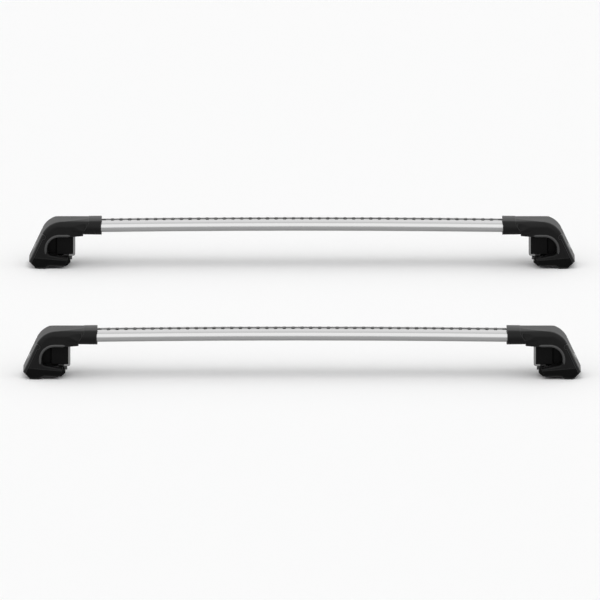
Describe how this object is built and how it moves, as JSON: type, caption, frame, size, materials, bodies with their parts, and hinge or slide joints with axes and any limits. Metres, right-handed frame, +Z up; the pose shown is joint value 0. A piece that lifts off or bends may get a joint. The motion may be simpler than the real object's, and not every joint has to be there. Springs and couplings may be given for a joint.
{
  "type": "roof crossbars",
  "caption": "Aerofoil aluminium roof crossbars with a ribbed rubber strip, on black clamp feet with lockable end covers, for a car's roof rails.",
  "frame": {"origin": "on the floor, midway between the four feet", "axes": "+Z up, +X to the right along the bars, +Y from the front bar to the rear bar"},
  "size_m": [1.103, 1.1864, 0.1],
  "materials": {
    "bar_aluminium": "satin anodised",
    "rubber": "matte",
    "foot_plastic": "fine grain",
    "base_plastic": "fine grain",
    "cover_plastic": "fine grain",
    "carrier_metal": "black coated casting",
    "bracket_steel": "plated",
    "jaw_metal": "black coated steel",
    "lock_metal": "satin",
    "fastener_steel": "plated"
  },
  "bodies": {
    "frame": {"front_anchor_plates": "fastener_steel", "front_bar": "bar_aluminium", "front_base_screws": "fastener_steel", "front_bolt_washers": "fastener_steel", "front_bracket_screws": "fastener_steel", "front_carrier_screws": "fastener_steel", "front_cover_pins": "fastener_steel", "front_left_base": "base_plastic", "front_left_carrier": "carrier_metal", "front_left_collar_seal": "rubber", "front_left_housing": "foot_plastic", "front_left_rail_pad": "rubber", "front_left_support_bracket": "bracket_steel", "front_right_base": "base_plastic", "front_right_carrier": "carrier_metal", "front_right_collar_seal": "rubber", "front_right_housing": "foot_plastic", "front_right_rail_pad": "rubber", "front_right_support_bracket": "bracket_steel", "front_slot_strip": "rubber", "rear_anchor_plates": "fastener_steel", "rear_bar": "bar_aluminium", "rear_base_screws": "fastener_steel", "rear_bolt_washers": "fastener_steel", "rear_bracket_screws": "fastener_steel", "rear_carrier_screws": "fastener_steel", "rear_cover_pins": "fastener_steel", "rear_left_base": "base_plastic", "rear_left_carrier": "carrier_metal", "rear_left_collar_seal": "rubber", "rear_left_housing": "foot_plastic", "rear_left_rail_pad": "rubber", "rear_left_support_bracket": "bracket_steel", "rear_right_base": "base_plastic", "rear_right_carrier": "carrier_metal", "rear_right_collar_seal": "rubber", "rear_right_housing": "foot_plastic", "rear_right_rail_pad": "rubber", "rear_right_support_bracket": "bracket_steel", "rear_slot_strip": "rubber"},
    "front_left_cover": {"front_left_end_cover": "cover_plastic"},
    "front_left_lock": {"front_left_lock_barrel": "lock_metal"},
    "front_left_bolt": {"front_left_clamp_bolt": "fastener_steel"},
    "front_left_jaw": {"front_left_clamp_jaw": "jaw_metal"},
    "front_right_cover": {"front_right_end_cover": "cover_plastic"},
    "front_right_lock": {"front_right_lock_barrel": "lock_metal"},
    "front_right_bolt": {"front_right_clamp_bolt": "fastener_steel"},
    "front_right_jaw": {"front_right_clamp_jaw": "jaw_metal"},
    "rear_left_cover": {"rear_left_end_cover": "cover_plastic"},
    "rear_left_lock": {"rear_left_lock_barrel": "lock_metal"},
    "rear_left_bolt": {"rear_left_clamp_bolt": "fastener_steel"},
    "rear_left_jaw": {"rear_left_clamp_jaw": "jaw_metal"},
    "rear_right_cover": {"rear_right_end_cover": "cover_plastic"},
    "rear_right_lock": {"rear_right_lock_barrel": "lock_metal"},
    "rear_right_bolt": {"rear_right_clamp_bolt": "fastener_steel"},
    "rear_right_jaw": {"rear_right_clamp_jaw": "jaw_metal"}
  },
  "joints": [
    {"name": "front_left_cover_hinge", "type": "hinge", "parent": "frame", "child": "front_left_cover", "pos_m": [-0.52255, -0.55, 0.06522], "axis": [0, 1, 0], "range_deg": [0, 80]},
    {"name": "front_left_lock_turn", "type": "hinge", "parent": "front_left_cover", "child": "front_left_lock", "pos_m": [-0.53973, -0.55, 0.03904], "axis": [0.9049, 0, -0.4255], "range_deg": [0, 90]},
    {"name": "front_left_bolt_turn", "type": "hinge", "parent": "frame", "child": "front_left_bolt", "pos_m": [-0.52, -0.55, 0.0155], "axis": [1, 0, 0], "range_deg": [0, 1730]},
    {"name": "front_left_jaw_slide", "type": "slide", "parent": "frame", "child": "front_left_jaw", "axis": [-1, 0, 0], "range_m": [0, 0.006]},
    {"name": "front_right_cover_hinge", "type": "hinge", "parent": "frame", "child": "front_right_cover", "pos_m": [0.52255, -0.55, 0.06522], "axis": [0, -1, 0], "range_deg": [0, 80]},
    {"name": "front_right_lock_turn", "type": "hinge", "parent": "front_right_cover", "child": "front_right_lock", "pos_m": [0.53973, -0.55, 0.03904], "axis": [0.9049, 0, 0.4255], "range_deg": [0, 90]},
    {"name": "front_right_bolt_turn", "type": "hinge", "parent": "frame", "child": "front_right_bolt", "pos_m": [0.52, -0.55, 0.0155], "axis": [-1, 0, 0], "range_deg": [0, 1730]},
    {"name": "front_right_jaw_slide", "type": "slide", "parent": "frame", "child": "front_right_jaw", "axis": [1, 0, 0], "range_m": [0, 0.006]},
    {"name": "rear_left_cover_hinge", "type": "hinge", "parent": "frame", "child": "rear_left_cover", "pos_m": [-0.52255, 0.55, 0.06522], "axis": [0, 1, 0], "range_deg": [0, 80]},
    {"name": "rear_left_lock_turn", "type": "hinge", "parent": "rear_left_cover", "child": "rear_left_lock", "pos_m": [-0.53973, 0.55, 0.03904], "axis": [0.9049, 0, -0.4255], "range_deg": [0, 90]},
    {"name": "rear_left_bolt_turn", "type": "hinge", "parent": "frame", "child": "rear_left_bolt", "pos_m": [-0.52, 0.55, 0.0155], "axis": [1, 0, 0], "range_deg": [0, 1730]},
    {"name": "rear_left_jaw_slide", "type": "slide", "parent": "frame", "child": "rear_left_jaw", "axis": [-1, 0, 0], "range_m": [0, 0.006]},
    {"name": "rear_right_cover_hinge", "type": "hinge", "parent": "frame", "child": "rear_right_cover", "pos_m": [0.52255, 0.55, 0.06522], "axis": [0, -1, 0], "range_deg": [0, 80]},
    {"name": "rear_right_lock_turn", "type": "hinge", "parent": "rear_right_cover", "child": "rear_right_lock", "pos_m": [0.53973, 0.55, 0.03904], "axis": [0.9049, 0, 0.4255], "range_deg": [0, 90]},
    {"name": "rear_right_bolt_turn", "type": "hinge", "parent": "frame", "child": "rear_right_bolt", "pos_m": [0.52, 0.55, 0.0155], "axis": [-1, 0, 0], "range_deg": [0, 1730]},
    {"name": "rear_right_jaw_slide", "type": "slide", "parent": "frame", "child": "rear_right_jaw", "axis": [1, 0, 0], "range_m": [0, 0.006]}
  ],
  "couplings": [
    {"joint": "front_left_bolt_turn", "follows": "front_left_jaw_slide", "rad_per_m": 5026.5},
    {"joint": "front_right_bolt_turn", "follows": "front_right_jaw_slide", "rad_per_m": 5026.5},
    {"joint": "rear_left_bolt_turn", "follows": "rear_left_jaw_slide", "rad_per_m": 5026.5},
    {"joint": "rear_right_bolt_turn", "follows": "rear_right_jaw_slide", "rad_per_m": 5026.5}
  ]
}
